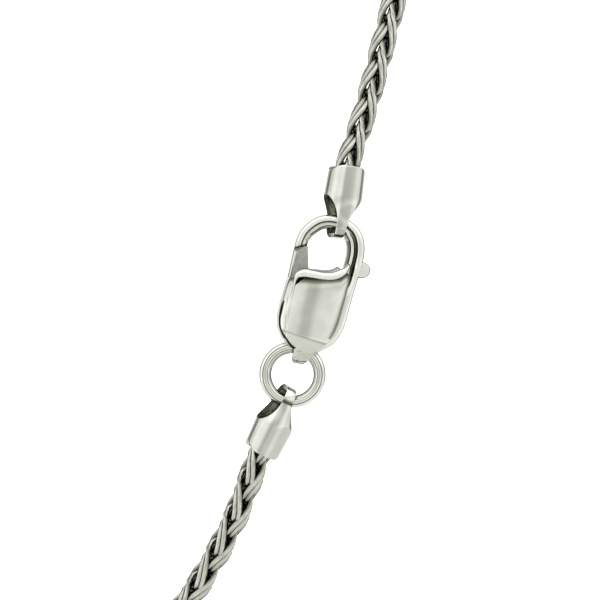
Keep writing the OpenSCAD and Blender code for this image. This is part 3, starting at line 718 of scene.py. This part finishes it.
def chain_row(hand, shift):
    """Every link of one row: the link's points carried to its place along the route, with its
    front turned slowly about the line from one end of the chain to the other."""
    around, sides = WIRE_AROUND, WIRE_SIDES
    wires = link_wires(hand, around, sides)
    place = np.arange(LINK_COUNT) - (shift == 0) + ROW_SHIFT - shift
    middle = LINK_LEN / 2 + WIRE_D + link_pitch * place
    s = middle[:, None, None, None] + wires[None, ..., 2]
    at = np.stack([np.interp(s, run, line[:, k]) for k in range(2)], -1)
    ahead = headings(line)
    along = np.stack([np.interp(s, run, ahead[:, k]) for k in range(2)], -1)
    share = np.clip((s / chain_len - 0.08) / 0.84, 0, 1)
    turn = np.radians(FACE_FIRST + FACE_TURN * share * share * (3 - 2 * share))
    x, y = wires[None, ..., 0], wires[None, ..., 1]
    near = x * np.cos(turn) + y * np.sin(turn)
    right = y * np.cos(turn) - x * np.sin(turn)
    points = np.stack([at[..., 0] + right * along[..., 1], -near,
                       at[..., 1] - right * along[..., 0]], -1)
    # Painted shade: darker towards the chain's core, along each wire's side that faces its twin
    # and, less, on its far side, and inside the end caps.
    depth = np.clip((np.hypot(x, y) / (CHAIN_D / 2) - 0.3) / 0.5, 0, 1)
    facing = np.array([0.15, 0.85, 1, 0.5, 1, 0.85])
    cap_shade = np.clip(np.minimum(s, chain_len - s) / 1.8, 0.1, 1)
    depth = np.broadcast_to(depth * facing, s.shape) * cap_shade
    one = grid_faces(around, sides, True, True)[:, ::-1]
    count = LINK_COUNT * 2
    faces = (one[None] + np.arange(count)[:, None, None] * around * sides).reshape(-1, 4)
    return points, faces, depth


# Fine silver wire, drawn and tumbled: bright outside, with painted shade within the chain
drawn_wire = silver("drawn_silver_wire", "B2B2AA", "D2D2CA", 0.08, 0.16, 0.9, 0.3)
for name, hand, shift in (("links_right_hand", 1, 0.0), ("links_left_hand", -1, ROW_SHIFT)):
    points, faces, painted_light = chain_row(hand, shift)
    piece(name, points, faces, drawn_wire, "chain", painted_light=painted_light)

# Floor: a plain pale round board under the loop, out of the photograph's view.
FLOOR_Z, FLOOR_R = -215.0, 230.0
a = np.linspace(0, 2 * np.pi, 96, endpoint=False)
ring = np.stack([FLOOR_R * np.cos(a), FLOOR_R * np.sin(a), np.full(96, FLOOR_Z)], -1)
board = bpy.data.meshes.new("floor")
board.from_pydata((ring * MM).tolist(), [], [list(range(96))])
paper = bpy.data.materials.new("pale_paper")
paper.use_nodes = True
paper.node_tree.nodes["Principled BSDF"].inputs["Base Color"].default_value = linear("F2F2EF")
paper.node_tree.nodes["Principled BSDF"].inputs["Roughness"].default_value = 0.8
board.materials.append(paper)
floor = bpy.data.objects.new("floor", board)
bpy.context.scene.collection.objects.link(floor)

# Studio light: a white tent round the necklace, with a greyer band beside it and grey cards in
# front, which draw soft dark lines along the metal. Above and below level the cards fade to
# white, and the camera itself sees plain white.
world = bpy.data.worlds.new("studio_tent")
bpy.context.scene.world = world
world.use_nodes = True
sky = world.node_tree
glow = sky.nodes["Background"]
way = node(sky, "ShaderNodeTexCoord").outputs["Generated"]
parts = node(sky, "ShaderNodeSeparateXYZ", links={0: way})
depth_way = node(sky, "ShaderNodeMapRange", {"From Min": -1.0, "From Max": 1.0},
                 {"Value": parts.outputs["Y"]})
tent = ramp(sky, [(0.0, "FFFFFF"), (0.30, "FFFFFF"), (0.62, "ECECEA"), (0.70, "8A8A88"),
                  (0.82, "8A8A88"), (0.90, "DADAD8"), (1.0, "E6E6E4")],
            depth_way.outputs["Result"])
nearer = node(sky, "ShaderNodeMath", {"operation": "MULTIPLY", 1: -1.0}, {0: parts.outputs["Y"]})
bearing = node(sky, "ShaderNodeMath", {"operation": "ARCTAN2"},
               {0: parts.outputs["X"], 1: nearer.outputs[0]})
side_way = node(sky, "ShaderNodeMapRange", {"From Min": -math.pi, "From Max": math.pi},
                {"Value": bearing.outputs[0]})
cards = ramp(sky, [(0.0, "DCDCDA"), (0.20, "E4E4E2"), (0.30, "FFFFFF"), (0.36, "E4E4E2"),
                   (0.40, "D2D2D0"), (0.43, "C8C8C6"), (0.475, "C4C4C2"), (0.50, "CACAC8"),
                   (0.53, "D0D0CE"), (0.60, "D4D4D2"), (0.66, "E2E2E0"), (0.75, "E0E0DE"),
                   (1.0, "DCDCDA")],
             side_way.outputs["Result"])
aside = node(sky, "ShaderNodeMath", {"operation": "ABSOLUTE"}, {0: parts.outputs["Z"]})
away = node(sky, "ShaderNodeMapRange", {"From Min": 0.08, "From Max": 0.4},
            {"Value": aside.outputs[0]})
room = node(sky, "ShaderNodeMix", {"data_type": "RGBA", 7: linear("FFFFFF")},
            {0: away.outputs["Result"], 6: cards.outputs["Color"]})
mixed = node(sky, "ShaderNodeMix", {"data_type": "RGBA", "blend_type": "MULTIPLY",
                                    "Factor": 1.0},
             {6: tent.outputs["Color"], 7: room.outputs[2]})
seen = node(sky, "ShaderNodeLightPath")
shown = node(sky, "ShaderNodeMix", {"data_type": "RGBA", 7: linear("FFFFFF")},
             {0: seen.outputs["Is Camera Ray"], 6: mixed.outputs[2]})
sky.links.new(shown.outputs[2], glow.inputs["Color"])
glow.inputs["Strength"].default_value = 1.6

# Camera: level with the clasp and square to the loop, with a long lens.
FRAME_W, LENS, SENSOR = 54.0, 100.0, 36.0
VIEW_X, VIEW_Z = 30.335, -145.035
eye = bpy.data.cameras.new("camera")
eye.lens = LENS
eye.sensor_width = SENSOR
eye.clip_start = 0.005
eye.clip_end = 10
camera = bpy.data.objects.new("camera", eye)
bpy.context.scene.collection.objects.link(camera)
camera.location = (VIEW_X * MM, -FRAME_W * LENS / SENSOR * MM, VIEW_Z * MM)
camera.rotation_euler = (math.radians(90), 0, 0)
bpy.context.scene.camera = camera
bpy.context.scene.view_settings.view_transform = "Standard"
